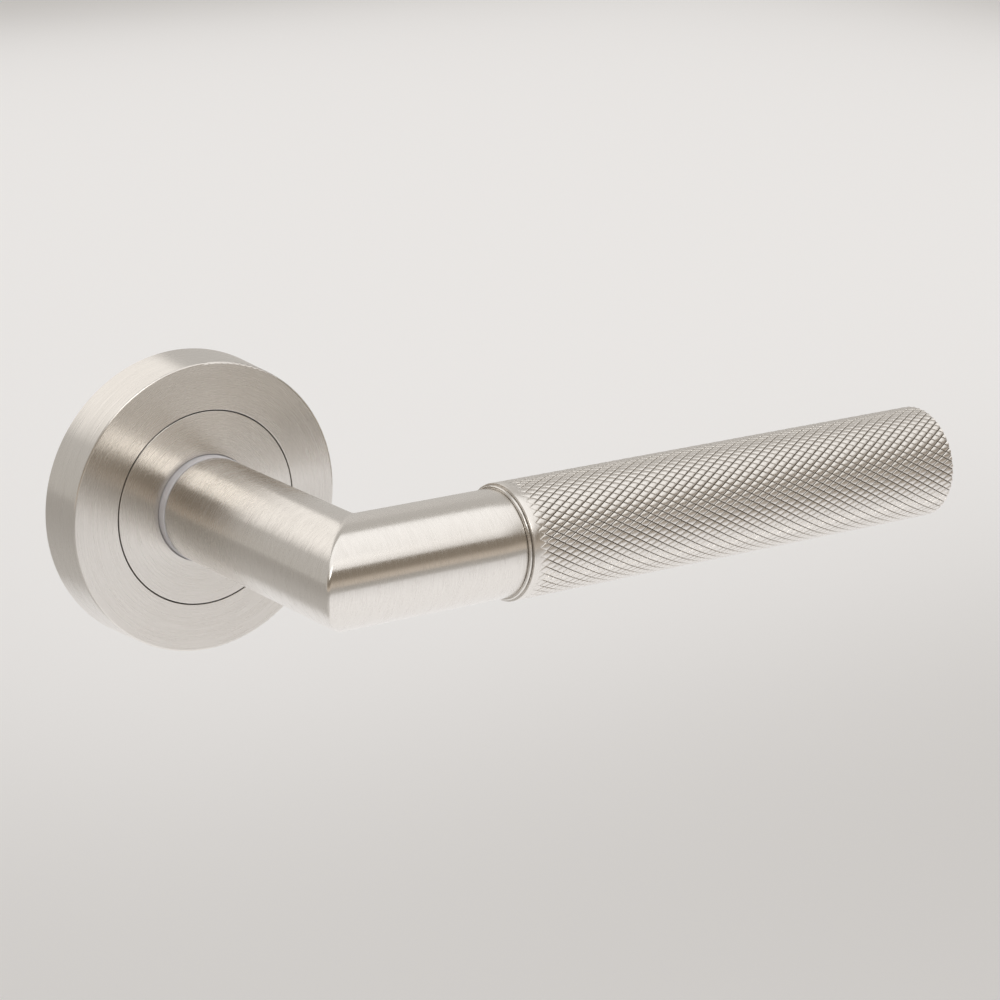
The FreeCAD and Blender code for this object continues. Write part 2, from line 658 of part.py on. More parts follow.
def make_lever_tube():
    """Round tube mitred and welded at the elbow, with a tapped hole under the neck and the arm."""
    body = new_body("lever_tube")
    section = new_sketch(body, "tube_section", "XY_Plane", lift=NECK_START)
    draw_circle(section, "0", "0", TUBE_R)
    draw_circle(section, "0", "0", TUBE_BORE_R)
    path = new_sketch(body, "tube_path")
    corners = [("0", NECK_START), ("0", "Sizes.projection"), (ARM_START, "Sizes.projection")]
    draw_outline(path, corners, closed=False)
    tube = body.newObject("PartDesign::AdditivePipe", "tube")
    tube.Profile = section
    tube.Spine = path
    tube.Transition = "Right corner"
    doc.recompute()
    drill_grub_hole(body, "neck_grub_hole", "0", "Sizes.grub_height")
    drill_grub_hole(body, "arm_grub_hole", "Sizes.core_grub_place", "Sizes.projection")
    ends = [(value(TUBE_R), value(NECK_START)), (value(TUBE_R), value(ARM_START))]
    rounded(body, "end_edges", "Sizes.edge_break", ends)


def drill_grub_hole(body, name, x, height, start=None):
    """A hole from the middle plane out through the underside, for a grub screw."""
    plan = new_sketch(body, name + "_plan", lift=start)
    draw_circle(plan, x, height, "Sizes.grub_dia / 2")
    pocket(body, name, plan, "Sizes.tube_dia", reverse=True)


def make_neck_insert():
    """Core pressed into the neck: it turns in the bush, carries the driver on two flats and the clip in
    a groove, and has the spindle's square socket."""
    body = new_body("neck_insert")
    tail = "-Sizes.tail_length"
    groove_foot, groove_top = f"({CLIP_FOOT} - Sizes.clip_play)", f"({CLIP_TOP} + Sizes.clip_play)"
    groove_r = f"({INSERT_R} - Sizes.clip_depth)"
    top = f"(Sizes.projection - {TUBE_BORE_R} - Sizes.insert_top_gap)"
    turn(body, "core", [
        ("0", tail),
        (INSERT_R, tail),
        (INSERT_R, groove_foot),
        (groove_r, groove_foot),
        (groove_r, groove_top),
        (INSERT_R, groove_top),
        (INSERT_R, top),
        ("0", top),
    ])
    flats = new_sketch(body, "flat_plan", "XY_Plane", lift=tail)
    wide, flat, far = "Sizes.tube_dia", "Sizes.driver_flats / 2", "Sizes.tube_dia"
    for sign in ("", "-"):
        draw_outline(flats, [
            (f"-{wide}", f"{sign}({flat})"),
            (wide, f"{sign}({flat})"),
            (wide, f"{sign}({far})"),
            (f"-{wide}", f"{sign}({far})"),
        ])
    pocket(body, "flats", flats, f"{DRIVER_TOP} + Sizes.axial_gap + Sizes.tail_length", reverse=True)
    socket = new_sketch(body, "socket_plan", "XY_Plane", lift=tail)
    draw_square(socket, "(Sizes.spindle_side / 2 + Sizes.clip_play)")
    deep = "Sizes.tail_length + Sizes.spindle_front + Sizes.spindle_bore_floor"
    pocket(body, "spindle_socket", socket, deep, reverse=True)
    drill_grub_hole(body, "grub_hole", "0", "Sizes.grub_height")


def draw_square(sketch, half):
    draw_outline(sketch, [(f"-{half}", f"-{half}"), (half, f"-{half}"), (half, half), (f"-{half}", half)])


def make_spindle():
    """Square bar that turns the latch, with both ends chamfered."""
    body = new_body("spindle")
    plan = new_sketch(body, "bar_plan", "XY_Plane", lift="-Sizes.spindle_rear")
    draw_square(plan, "(Sizes.spindle_side / 2)")
    bar = pad(body, "bar", plan, "Sizes.spindle_rear + Sizes.spindle_front")
    ends = (-value("Sizes.spindle_rear"), value("Sizes.spindle_front"))
    names = [
        f"Edge{number}"
        for number, edge in enumerate(bar.Shape.Edges, start=1)
        if min(abs(edge.CenterOfMass.z - end) for end in ends) < 0.001
    ]
    chamfer = body.newObject("PartDesign::Chamfer", "end_chamfers")
    chamfer.Base = (bar, names)
    chamfer.setExpression("Size", "Sizes.spindle_chamfer")
    doc.recompute()


def make_grub_screw(label, x, height, tip):
    """Socket set screw under the handle; tip is its point's distance below the handle's middle plane."""
    body = new_body(label)
    plan = new_sketch(body, "shank_plan", lift=tip)
    draw_circle(plan, x, height, "Sizes.grub_dia / 2 - Sizes.clip_play")
    length = f"({TUBE_R} - Sizes.grub_recess - {tip})"
    pad(body, "shank", plan, length)
    socket = new_sketch(body, "socket_plan", lift=f"{TUBE_R} - Sizes.grub_recess")
    radius = "(Sizes.grub_socket / sqrt(3))"
    corners = []
    for angle in range(0, 360, 60):
        across, up = at_angle(radius, angle)
        corners.append((f"{x} + {across}", f"{height} + {up}"))
    draw_outline(socket, corners)
    pocket(body, "socket", socket, "Sizes.grub_socket_depth")


def make_grip_core():
    """Rod that joins the knurled sleeve to the arm; a spot drilling under it takes the grub screw."""
    body = new_body("grip_core")
    big_r = f"({SLEEVE_BORE_R} - Sizes.press_gap)"
    turn_on_arm(body, "rod", [
        ("Sizes.core_start", "0"),
        ("Sizes.core_start", f"{INSERT_R} - Sizes.edge_break"),
        ("Sizes.core_start + Sizes.edge_break", INSERT_R),
        (COLLAR_END, INSERT_R),
        (COLLAR_END, big_r),
        (CORE_END, big_r),
        (CORE_END, "0"),
    ])
    spot = f"({INSERT_R} - Sizes.core_spot_depth)"
    drill_grub_hole(body, "grub_spot", "Sizes.core_grub_place", "Sizes.projection", start=spot)


def make_grip_collar():
    """Thin rounded ring between the plain arm and the grip."""
    body = new_body("grip_collar")
    bore_r, ring_r = f"({INSERT_R} + Sizes.press_gap)", f"({TUBE_R} + Sizes.collar_proud)"
    start, end = COLLAR_START, f"({COLLAR_END} - Sizes.press_gap)"
    turn_on_arm(body, "ring", [(start, bore_r), (start, ring_r), (end, ring_r), (end, bore_r)])
    edges = [(value(ring_r), value(start)), (value(ring_r), value(end))]
    rounded(body, "crown", "Sizes.collar_crown", edges)


def make_grip_sleeve():
    """Sleeve whose outside is the grip; a plain turned band leads into it."""
    body = new_body("grip_sleeve")
    band_r = f"({SLEEVE_R} - Sizes.sleeve_band_drop)"
    band_end = f"({SLEEVE_START} + Sizes.sleeve_band)"
    turn_on_arm(body, "sleeve", [
        (SLEEVE_START, SLEEVE_BORE_R),
        (SLEEVE_START, f"{band_r} - Sizes.sleeve_lead_break"),
        (f"{SLEEVE_START} + Sizes.sleeve_lead_break", band_r),
        (band_end, band_r),
        (f"{band_end} + Sizes.sleeve_band_drop", SLEEVE_R),
        ("Sizes.lever_length - Sizes.edge_break", SLEEVE_R),
        ("Sizes.lever_length", f"{SLEEVE_R} - Sizes.edge_break"),
        ("Sizes.lever_length", SLEEVE_BORE_R),
    ])


def make_end_plug():
    """Plug pressed into the sleeve's open end, a little below its edge."""
    body = new_body("end_plug")
    plug_r = f"({SLEEVE_BORE_R} - Sizes.press_gap)"
    turn_on_arm(body, "plug", [
        (PLUG_START, "0"),
        (PLUG_START, plug_r),
        (f"{PLUG_END} - Sizes.edge_break", plug_r),
        (PLUG_END, f"{plug_r} - Sizes.edge_break"),
        (PLUG_END, "0"),
    ])


def check_and_export():
    """Stops on any failed feature or broken solid, then writes one file for each piece."""
    doc.recompute()
    for item in doc.Objects:
        if "Invalid" in item.State or "Error" in item.State:
            raise ValueError(f"{item.Name} failed: {item.State}")
    pieces = [o for o in doc.Objects if o.TypeId in ("PartDesign::Body", "Part::Feature")]
    for piece in pieces:
        if piece.Shape.isNull() or not piece.Shape.isValid() or not piece.Shape.Solids:
            raise ValueError(f"{piece.Label} isn't a sound solid")
    os.makedirs("parts", exist_ok=True)
    for piece in pieces:
        piece.Shape.exportStep(f"parts/{piece.Label}.step")
    print(len(pieces), "pieces written")


make_base_plate()
make_fixing_posts()
make_hub_cup()
make_cup_screws()
make_neck_bush()
make_return_spring()
make_snap_ring()
make_rose_cover()
make_neck_insert()
make_lever_tube()
make_spring_driver()
make_thrust_washer()
make_wave_washer()
make_circlip()
make_spindle()
make_grub_screw("spindle_grub_screw", "0", "Sizes.grub_height", "(Sizes.spindle_side / 2)")
make_grip_core()
core_tip = f"({INSERT_R} - Sizes.core_spot_depth + Sizes.clip_play)"
make_grub_screw("core_grub_screw", "Sizes.core_grub_place", "Sizes.projection", core_tip)
make_grip_collar()
make_grip_sleeve()
make_end_plug()
check_and_export()
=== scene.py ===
import bpy
import math
from mathutils import Matrix, Vector


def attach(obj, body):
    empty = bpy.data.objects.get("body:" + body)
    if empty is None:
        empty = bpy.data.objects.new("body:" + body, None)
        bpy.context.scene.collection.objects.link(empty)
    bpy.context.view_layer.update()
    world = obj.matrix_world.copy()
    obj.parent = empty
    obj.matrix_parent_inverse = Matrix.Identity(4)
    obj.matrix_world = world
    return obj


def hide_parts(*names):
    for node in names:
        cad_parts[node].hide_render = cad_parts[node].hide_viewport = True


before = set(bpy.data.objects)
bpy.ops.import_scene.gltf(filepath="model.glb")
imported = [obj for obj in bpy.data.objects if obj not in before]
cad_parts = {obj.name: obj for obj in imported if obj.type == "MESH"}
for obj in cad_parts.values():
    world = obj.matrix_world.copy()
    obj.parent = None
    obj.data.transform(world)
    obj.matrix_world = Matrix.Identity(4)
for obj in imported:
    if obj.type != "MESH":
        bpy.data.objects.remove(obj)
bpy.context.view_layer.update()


# ---------------------------------------------------------------- camera
# A long lens a little over half a metre away, to the left of the handle and
# a little above it.
LENS_MM = 118.58
FILM_MM = 36
CAMERA_TURN = -34.953
CAMERA_TILT = 16.161
CAMERA_ROLL = 0.394

bpy.ops.object.camera_add(location=(-0.27769, -0.49742, 0.16376))
camera = bpy.context.object
camera.name = "camera"
aim = Matrix.Rotation(math.radians(CAMERA_TURN), 3, "Z")
aim = aim @ Matrix.Rotation(math.radians(90 - CAMERA_TILT), 3, "X")
aim = aim @ Matrix.Rotation(math.radians(CAMERA_ROLL), 3, "Z")
camera.rotation_euler = aim.to_euler()
camera.data.lens = LENS_MM
camera.data.sensor_width = FILM_MM
camera.data.clip_start = 0.01
bpy.context.scene.camera = camera
bpy.context.scene.view_settings.view_transform = "Standard"


# ---------------------------------------------------------------- studio
# A pale paper floor well below the handle, a wide soft box overhead that
# reaches out over the front, smaller ones high in front and high behind, and
# a card of light below.  One more only lights the floor behind.  The walls
# are a dim warm grey, darkest above the horizon in front of the handle.
FLOOR_DROP = 0.55
FLOOR_SIZE = 14.0
FRONT_WALL_ENDS = -0.15
BACK_WALL_STARTS = 0.35

bpy.ops.mesh.primitive_plane_add(size=FLOOR_SIZE, location=(0, 0, -FLOOR_DROP))
floor = bpy.context.object
floor.name = "floor"
paper = bpy.data.materials.new("pale_paper")
paper.use_nodes = True
paper_shader = paper.node_tree.nodes["Principled BSDF"]
paper_shader.inputs["Base Color"].default_value = (0.86, 0.86, 0.865, 1)
paper_shader.inputs["Roughness"].default_value = 0.9
paper_shader.inputs["Specular IOR Level"].default_value = 0.1
floor.data.materials.append(paper)

room = bpy.data.worlds.new("studio_room")
room.use_nodes = True
bpy.context.scene.world = room
room_tree = room.node_tree
front_bands = [
    (0.00, (0.70, 0.66, 0.60)),
    (0.50, (0.70, 0.62, 0.54)),
    (0.53, (0.64, 0.56, 0.48)),
    (0.585, (0.30, 0.255, 0.205)),
    (0.70, (0.28, 0.24, 0.195)),
    (0.80, (0.50, 0.47, 0.43)),
    (1.00, (0.60, 0.58, 0.55)),
]
back_bands = [
    (0.00, (0.70, 0.68, 0.65)),
    (0.50, (0.64, 0.62, 0.59)),
    (0.75, (0.68, 0.66, 0.64)),
    (1.00, (0.60, 0.58, 0.55)),
]


def room_wall(bands, height):
    """Bands of colour from the floor, at 0, to straight overhead, at 1."""
    ramp = room_tree.nodes.new("ShaderNodeValToRGB")
    room_tree.links.new(height, ramp.inputs["Fac"])
    stops = ramp.color_ramp.elements
    while len(stops) < len(bands):
        stops.new(0.5)
    for stop, (place, colour) in zip(stops, bands):
        stop.position = place
        stop.color = (*colour, 1)
    return ramp.outputs["Color"]


sight = room_tree.nodes.new("ShaderNodeTexCoord")
sight_parts = room_tree.nodes.new("ShaderNodeSeparateXYZ")
level = room_tree.nodes.new("ShaderNodeMath")
level.operation = "MULTIPLY_ADD"
level.inputs[1].default_value = 0.5
level.inputs[2].default_value = 0.5
behind = room_tree.nodes.new("ShaderNodeMapRange")
behind.inputs["From Min"].default_value = FRONT_WALL_ENDS
behind.inputs["From Max"].default_value = BACK_WALL_STARTS
wall_mix = room_tree.nodes.new("ShaderNodeMix")
wall_mix.data_type = "RGBA"
room_tree.links.new(sight.outputs["Generated"], sight_parts.inputs[0])
room_tree.links.new(sight_parts.outputs["Z"], level.inputs[0])
room_tree.links.new(sight_parts.outputs["Y"], behind.inputs["Value"])
room_tree.links.new(behind.outputs[0], wall_mix.inputs[0])
room_tree.links.new(room_wall(front_bands, level.outputs[0]), wall_mix.inputs[6])
room_tree.links.new(room_wall(back_bands, level.outputs[0]), wall_mix.inputs[7])
room_tree.links.new(wall_mix.outputs[2], room_tree.nodes["Background"].inputs["Color"])


def add_soft_box(name, centre, facing, width, height, brightness, colour):
    """A rectangle of light at centre that shines along facing."""
    bpy.ops.object.light_add(type="AREA", location=centre)
    box = bpy.context.object
    box.name = name
    box.rotation_euler = Vector(facing).to_track_quat("-Z", "Y").to_euler()
    box.data.shape = "RECTANGLE"
    box.data.size = width
    box.data.size_y = height
    box.data.energy = brightness * math.pi * width * height
    box.data.color = colour
    box.visible_camera = False


add_soft_box("top_light", (0.20, -0.60, 0.70), (0, 0, -1), 1.50, 1.40, 0.79, (0.97, 0.99, 1.03))
add_soft_box("front_light", (-0.17, -0.95, 0.73), (0.16, 0.81, -0.67), 0.64, 0.36, 2.10, (1.0, 0.99, 0.97))
add_soft_box("high_back_light", (-0.10, 0.85, 0.75), (0.1, -0.85, -0.75), 1.10, 0.75, 0.64, (1.0, 0.98, 0.96))
add_soft_box("low_card", (0.60, -0.315, -0.28), (0, 0, 1), 1.40, 1.47, 0.41, (0.97, 0.99, 1.05))
add_soft_box("floor_light", (1.90, 2.60, -0.20), (0, 0, -1), 3.00, 3.00, 0.40, (0.99, 0.99, 1.0))


# ------------------------------------------------------------- rose cover
# A shallow round shell, drawn from thin brass, brushed round and round on
# the lathe and satin nickel plated.  It snaps over the base plate.
NICKEL = (0.69, 0.66, 0.62)
NICKEL_DARK = (0.675, 0.645, 0.605)
BRUSH_RELIEF = 0.000008
BRUSH_STRENGTH = 0.10
GLOSS_STRETCH = 0.85
OUT_OF_DOOR = (0, 1, 0)


def socket(tree, kind, name, direction, value=None):
    made = tree.interface.new_socket(name, in_out=direction, socket_type=kind)
    if value is not None:
        made.default_value = value


def joined(tree, kind, *sources, **settings):
    """A new node with its inputs linked or set in order, None leaving one."""
    node = tree.nodes.new(kind)
    for setting, value in settings.items():
        setattr(node, setting, value)
    for slot, source in zip(node.inputs, sources):
        if source is None:
            continue
        if isinstance(source, bpy.types.NodeSocket):
            tree.links.new(source, slot)
        else:
            slot.default_value = source
    return node


def make_lathe_brushing():
    """Fine lines round an axis: strokes of a length and a width, in colour,
    roughness and height.  A few broader strokes lie under the fine ones."""
    radius_share = 0.73
    broad_width = 7.0
    broad_length = 1.5
    broad_share = 0.18
    dark_below = 0.36
    bright_above = 0.62
    group = bpy.data.node_groups.new("lathe_brushing", "ShaderNodeTree")
    socket(group, "NodeSocketVector", "Place", "INPUT")
    socket(group, "NodeSocketVector", "Axis", "INPUT", OUT_OF_DOOR)
    socket(group, "NodeSocketColor", "Bright Metal", "INPUT", (*NICKEL, 1))
    socket(group, "NodeSocketColor", "Dark Metal", "INPUT", (*NICKEL_DARK, 1))
    socket(group, "NodeSocketFloat", "Stroke Length", "INPUT", 0.006)
    socket(group, "NodeSocketFloat", "Stroke Width", "INPUT", 0.0002)
    socket(group, "NodeSocketFloat", "Smoothest", "INPUT", 0.24)
    socket(group, "NodeSocketFloat", "Roughest", "INPUT", 0.40)
    socket(group, "NodeSocketColor", "Colour", "OUTPUT")
    socket(group, "NodeSocketFloat", "Roughness", "OUTPUT")
    socket(group, "NodeSocketFloat", "Height", "OUTPUT")
    given = group.nodes.new("NodeGroupInput").outputs
    result = group.nodes.new("NodeGroupOutput").inputs

    vector = "ShaderNodeVectorMath"
    along = joined(group, vector, given["Place"], given["Axis"], operation="DOT_PRODUCT").outputs["Value"]
    shaft = joined(group, vector, given["Axis"], operation="SCALE")
    group.links.new(along, shaft.inputs["Scale"])
    arm = joined(group, vector, given["Place"], shaft.outputs[0], operation="SUBTRACT").outputs[0]
    radius = joined(group, vector, arm, operation="LENGTH").outputs["Value"]
    across = joined(group, "ShaderNodeMath", along, radius_share, radius, operation="MULTIPLY_ADD").outputs[0]

    def strokes(width_share, length_share, detail):
        width = joined(group, "ShaderNodeMath", given["Stroke Width"], width_share, operation="MULTIPLY")
        length = joined(group, "ShaderNodeMath", given["Stroke Length"], length_share, operation="MULTIPLY")
        step = joined(group, "ShaderNodeMath", across, width.outputs[0], operation="DIVIDE").outputs[0]
        line = joined(group, vector, given["Axis"], operation="SCALE")
        group.links.new(step, line.inputs["Scale"])
        part = joined(group, "ShaderNodeMath", 1.0, length.outputs[0], operation="DIVIDE").outputs[0]
        round_way = joined(group, vector, arm, operation="SCALE")
        group.links.new(part, round_way.inputs["Scale"])
        place = joined(group, vector, round_way.outputs[0], line.outputs[0], operation="ADD").outputs[0]
        noise = joined(group, "ShaderNodeTexNoise", place)
        noise.inputs["Scale"].default_value = 1.0
        noise.inputs["Detail"].default_value = detail
        noise.inputs["Roughness"].default_value = 0.6
        return noise.outputs["Fac"]

    fine = strokes(1.0, 1.0, 2.0)
    broad = strokes(broad_width, broad_length, 1.0)
    both = joined(group, "ShaderNodeMath", fine, 1.0 - broad_share, operation="MULTIPLY").outputs[0]
    both = joined(group, "ShaderNodeMath", broad, broad_share, both, operation="MULTIPLY_ADD").outputs[0]
    mask = joined(group, "ShaderNodeMapRange", both, dark_below, bright_above, 0.0, 1.0).outputs[0]
    colour = joined(group, "ShaderNodeMix", data_type="RGBA")
    group.links.new(mask, colour.inputs[0])
    group.links.new(given["Dark Metal"], colour.inputs[6])
    group.links.new(given["Bright Metal"], colour.inputs[7])
    rough = joined(
        group, "ShaderNodeMapRange", both, dark_below, bright_above, given["Roughest"], given["Smoothest"]
    )
    group.links.new(colour.outputs[2], result["Colour"])
    group.links.new(rough.outputs[0], result["Roughness"])
    group.links.new(fine, result["Height"])
    return group


lathe_brushing = make_lathe_brushing()


def brushed_metal(name, centre, axis, stroke_length, stroke_width, bright, dark, smooth, rough, stretch):
    """A metal brushed round the axis through centre.  Its gloss is drawn out
    across the strokes."""
    metal = bpy.data.materials.new(name)
    metal.use_nodes = True
    tree = metal.node_tree
    shader = tree.nodes["Principled BSDF"]
    place = joined(tree, "ShaderNodeTexCoord").outputs["Object"]
    place = joined(tree, "ShaderNodeVectorMath", place, centre, operation="SUBTRACT").outputs[0]
    finish_with_brushing(tree, place, axis, stroke_length, stroke_width, bright, dark, smooth, rough)
    shader.inputs["Metallic"].default_value = 1.0
    shader.inputs["Anisotropic"].default_value = stretch
    return metal


def finish_with_brushing(tree, place, axis, stroke_length, stroke_width, bright, dark, smooth, rough):
    """Sets the brushing group, the bump and the direction of the gloss."""
    shader = tree.nodes["Principled BSDF"]
    brushing = tree.nodes.new("ShaderNodeGroup")
    brushing.node_tree = lathe_brushing
    tree.links.new(place, brushing.inputs["Place"])
    if isinstance(axis, bpy.types.NodeSocket):
        tree.links.new(axis, brushing.inputs["Axis"])
    else:
        brushing.inputs["Axis"].default_value = axis
    brushing.inputs["Bright Metal"].default_value = (*bright, 1)
    brushing.inputs["Dark Metal"].default_value = (*dark, 1)
    brushing.inputs["Stroke Length"].default_value = stroke_length
    brushing.inputs["Stroke Width"].default_value = stroke_width
    brushing.inputs["Smoothest"].default_value = smooth
    brushing.inputs["Roughest"].default_value = rough
    bump = tree.nodes.new("ShaderNodeBump")
    bump.inputs["Strength"].default_value = BRUSH_STRENGTH
    bump.inputs["Distance"].default_value = BRUSH_RELIEF
    tree.links.new(brushing.outputs["Height"], bump.inputs["Height"])
    tree.links.new(brushing.outputs["Colour"], shader.inputs["Base Color"])
    tree.links.new(brushing.outputs["Roughness"], shader.inputs["Roughness"])
    tree.links.new(bump.outputs[0], shader.inputs["Normal"])
    surface = tree.nodes.new("ShaderNodeNewGeometry").outputs["Normal"]
    stroke = joined(tree, "ShaderNodeVectorMath", axis, place, operation="CROSS_PRODUCT").outputs[0]
    spread = joined(tree, "ShaderNodeVectorMath", surface, stroke, operation="CROSS_PRODUCT").outputs[0]
    spread = joined(tree, "ShaderNodeVectorMath", spread, operation="NORMALIZE").outputs[0]
    tree.links.new(spread, shader.inputs["Tangent"])


def dress(node, material):
    """Gives a CAD node or a piece one material."""
    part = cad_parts[node] if isinstance(node, str) else node
    part.data.materials.clear()
    part.data.materials.append(material)


cover_nickel = brushed_metal(
    "cover_nickel", (0, 0, 0), OUT_OF_DOOR, 0.009, 0.00016, NICKEL, NICKEL_DARK, 0.22, 0.29, GLOSS_STRETCH
)
dress("rose_cover", cover_nickel)


# --------------------------------------------------------------- hub cup
# The turned middle of the rose, screwed to the base plate from behind.  It
# carries the nylon bush and shows a thin dark ring where the cover stops.
hub_nickel = brushed_metal(
    "hub_nickel", (0, 0, 0), OUT_OF_DOOR, 0.007, 0.00014, NICKEL, NICKEL_DARK, 0.22, 0.29, GLOSS_STRETCH
)
dress("hub_cup", hub_nickel)


# ------------------------------------------------------------- neck bush
# A moulded nylon bearing for the neck, pressed into the hub.  Its pale lip
# shows as a thin ring round the neck.
def make_surface_mottle():
    """Soft patches and a fine grain, for moulded, plated and blackened
    surfaces."""
    group = bpy.data.node_groups.new("surface_mottle", "ShaderNodeTree")
    socket(group, "NodeSocketVector", "Place", "INPUT")
    socket(group, "NodeSocketColor", "Main Colour", "INPUT", (0.5, 0.5, 0.5, 1))
    socket(group, "NodeSocketColor", "Patch Colour", "INPUT", (0.4, 0.4, 0.4, 1))
    socket(group, "NodeSocketFloat", "Patch Size", "INPUT", 0.004)
    socket(group, "NodeSocketFloat", "Grain Size", "INPUT", 0.0003)
    socket(group, "NodeSocketFloat", "Smoothest", "INPUT", 0.3)
    socket(group, "NodeSocketFloat", "Roughest", "INPUT", 0.5)
    socket(group, "NodeSocketColor", "Colour", "OUTPUT")
    socket(group, "NodeSocketFloat", "Roughness", "OUTPUT")
    socket(group, "NodeSocketFloat", "Height", "OUTPUT")
    given = group.nodes.new("NodeGroupInput").outputs
    result = group.nodes.new("NodeGroupOutput").inputs

    def spots(size, detail):
        part = joined(group, "ShaderNodeMath", 1.0, size, operation="DIVIDE").outputs[0]
        noise = joined(group, "ShaderNodeTexNoise", given["Place"], None, part, detail)
        return noise.outputs["Fac"]

    patches = spots(given["Patch Size"], 3.0)
    grain = spots(given["Grain Size"], 1.0)
    mask = joined(group, "ShaderNodeMapRange", patches, 0.38, 0.64, 0.0, 1.0).outputs[0]
    colour = joined(group, "ShaderNodeMix", data_type="RGBA")
    group.links.new(mask, colour.inputs[0])
    group.links.new(given["Main Colour"], colour.inputs[6])
    group.links.new(given["Patch Colour"], colour.inputs[7])
    both = joined(group, "ShaderNodeMath", grain, 0.5, patches, operation="MULTIPLY_ADD").outputs[0]
    rough = joined(group, "ShaderNodeMapRange", both, 0.5, 0.95, given["Smoothest"], given["Roughest"])
    group.links.new(colour.outputs[2], result["Colour"])
    group.links.new(rough.outputs[0], result["Roughness"])
    group.links.new(grain, result["Height"])
    return group


surface_mottle = make_surface_mottle()


def mottled_material(name, main, patch, patch_size, grain_size, smooth, rough, metallic, bump_depth):
    material = bpy.data.materials.new(name)
    material.use_nodes = True
    tree = material.node_tree
    shader = tree.nodes["Principled BSDF"]
    mottle = tree.nodes.new("ShaderNodeGroup")
    mottle.node_tree = surface_mottle
    place = joined(tree, "ShaderNodeTexCoord").outputs["Object"]
    tree.links.new(place, mottle.inputs["Place"])
    mottle.inputs["Main Colour"].default_value = (*main, 1)
    mottle.inputs["Patch Colour"].default_value = (*patch, 1)
    mottle.inputs["Patch Size"].default_value = patch_size
    mottle.inputs["Grain Size"].default_value = grain_size
    mottle.inputs["Smoothest"].default_value = smooth
    mottle.inputs["Roughest"].default_value = rough
    bump = tree.nodes.new("ShaderNodeBump")
    bump.inputs["Strength"].default_value = 0.5
    bump.inputs["Distance"].default_value = bump_depth
    tree.links.new(mottle.outputs["Height"], bump.inputs["Height"])
    tree.links.new(mottle.outputs["Colour"], shader.inputs["Base Color"])
    tree.links.new(mottle.outputs["Roughness"], shader.inputs["Roughness"])
    tree.links.new(bump.outputs[0], shader.inputs["Normal"])
    shader.inputs["Metallic"].default_value = metallic
    return material


bush_nylon = mottled_material(
    "bush_nylon", (0.60, 0.59, 0.61), (0.55, 0.54, 0.56), 0.002, 0.0002, 0.42, 0.55, 0.0, 0.00001
)
dress("neck_bush", bush_nylon)


# ------------------------------------------------------------ lever tube
# One length of thick brass tube, cut at a mitre, brazed into a square elbow
# and ground to a soft edge, then brushed round each leg and nickel plated.
TUBE_R = 0.0095
TUBE_WALL = 0.0015
NECK_BACK = -0.0114
ARM_LINE = -0.0557
ARM_END = 0.0304
ELBOW_SOFTNESS = 0.0006
END_EDGE = 0.0002
GRUB_HOLE_R = 0.0025
GRUB_ON_NECK = (0, -0.020, -TUBE_R)
GRUB_ON_ARM = (0.022, ARM_LINE, -TUBE_R)
GRUB_MARGIN = 0.0035
DRILL_LENGTH = 0.008
DRILL_SIDES = 48
BEYOND = 0.03
TUBE_SIDES = 192
TUBE_SMOOTH_BELOW = 38
SAME_PLACE = 1e-6
ON_TUBE_END = 1e-5
RIM_WIDTH = 1e-4


def make_active(piece):
    bpy.ops.object.select_all(action="DESELECT")
    piece.select_set(True)
    bpy.context.view_layer.objects.active = piece


def pick(piece, test, mode="VERT"):
    """Leaves edit mode on, with the vertices or edges that pass selected."""
    bpy.ops.object.mode_set(mode="EDIT")
    bpy.ops.mesh.select_mode(type=mode)
    bpy.ops.mesh.select_all(action="DESELECT")
    bpy.ops.object.mode_set(mode="OBJECT")
    mesh = piece.data
    if mode == "VERT":
        for vertex in mesh.vertices:
            vertex.select = test(vertex.co)
    if mode == "EDGE":
        for edge in mesh.edges:
            ends = [mesh.vertices[number].co for number in edge.vertices]
            edge.select = all(test(end) for end in ends)
    bpy.ops.object.mode_set(mode="EDIT")


def apply_modifier(piece, kind, **settings):
    modifier = piece.modifiers.new(kind.lower(), kind)
    for setting, value in settings.items():
        setattr(modifier, setting, value)
    make_active(piece)
    bpy.ops.object.modifier_apply(modifier=modifier.name)


def cut_across(place, normal, clear=False):
    """A plane cut through the whole open mesh, optionally dropping the side
    that the normal points to."""
    bpy.ops.mesh.select_all(action="SELECT")
    bpy.ops.mesh.bisect(plane_co=place, plane_no=normal, clear_outer=clear)


bpy.ops.object.select_all(action="DESELECT")
bpy.ops.mesh.primitive_circle_add(
    vertices=TUBE_SIDES, radius=TUBE_R, location=(0, NECK_BACK, 0), rotation=(math.pi / 2, 0, 0)
)
tube = bpy.context.object
tube.name = "soft_elbow_tube"
bpy.ops.object.transform_apply(location=True, rotation=True, scale=True)
bpy.ops.object.mode_set(mode="EDIT")
bpy.ops.mesh.select_all(action="SELECT")
bpy.ops.mesh.extrude_region_move(
    TRANSFORM_OT_translate={"value": (0, ARM_LINE - NECK_BACK - BEYOND, 0)}
)
mitre = Vector((1, -1, 0)).normalized()
cut_across((0, ARM_LINE, 0), mitre, clear=True)
pick(tube, lambda at: abs(at.y - ARM_LINE - at.x) < SAME_PLACE)
bpy.ops.mesh.extrude_region_move(TRANSFORM_OT_translate={"value": (ARM_END + BEYOND, 0, 0)})
cut_across((ARM_END, 0, 0), (1, 0, 0), clear=True)
for side in (-1, 1):
    cut_across((0, GRUB_ON_NECK[1] + side * GRUB_MARGIN, 0), (0, 1, 0))
    cut_across((GRUB_ON_ARM[0] + side * GRUB_MARGIN, 0, 0), (1, 0, 0))
pick(tube, lambda at: abs(at.y - ARM_LINE - at.x) < SAME_PLACE and at.x < TUBE_R + SAME_PLACE, "EDGE")
